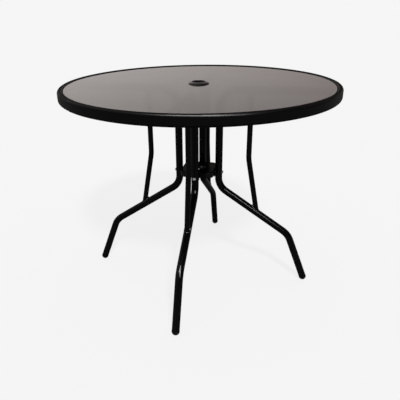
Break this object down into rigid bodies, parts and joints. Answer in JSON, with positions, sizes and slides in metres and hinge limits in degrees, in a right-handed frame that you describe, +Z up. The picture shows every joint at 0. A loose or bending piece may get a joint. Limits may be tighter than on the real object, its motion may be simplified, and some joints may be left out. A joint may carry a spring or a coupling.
{
  "type": "umbrella table",
  "caption": "Round glass patio table with a tubular steel hoop, bent tube legs with welded braces, a lower plate and an umbrella hole.",
  "frame": {"origin": "centre of the bounding box at floor level, on the axis of the umbrella hole", "axes": "+Z up along the umbrella pole's axis; +X over leg_right, +Y over leg_back, -X over leg_left and -Y over leg_front"},
  "size_m": [0.8999, 0.9, 0.7145],
  "materials": {
    "black_paint": "gloss black powder coat on steel tube and sheet",
    "glass": "dark tinted toughened glass, polished",
    "black_plastic": "satin moulded black plastic",
    "soft_pad": "matte soft pad",
    "zinc_steel": "bright zinc plated steel"
  },
  "bodies": {
    "root": {"table_rim": "black_paint", "glass_ledge": "black_paint", "glass_top": "glass", "glass_pads": "soft_pad", "umbrella_ring": "black_plastic", "centre_plate": "black_paint", "rim_saddle_right": "black_paint", "rim_saddle_back": "black_paint", "rim_saddle_left": "black_paint", "rim_saddle_front": "black_paint", "leg_right": "black_paint", "leg_back": "black_paint", "leg_left": "black_paint", "leg_front": "black_paint", "brace_right": "black_paint", "brace_back": "black_paint", "brace_left": "black_paint", "brace_front": "black_paint", "foot_cap_right": "black_plastic", "foot_cap_back": "black_plastic", "foot_cap_left": "black_plastic", "foot_cap_front": "black_plastic", "plate_bolts": "zinc_steel", "plate_nuts": "zinc_steel", "saddle_bolts": "zinc_steel", "saddle_nuts": "zinc_steel"}
  },
  "joints": []
}
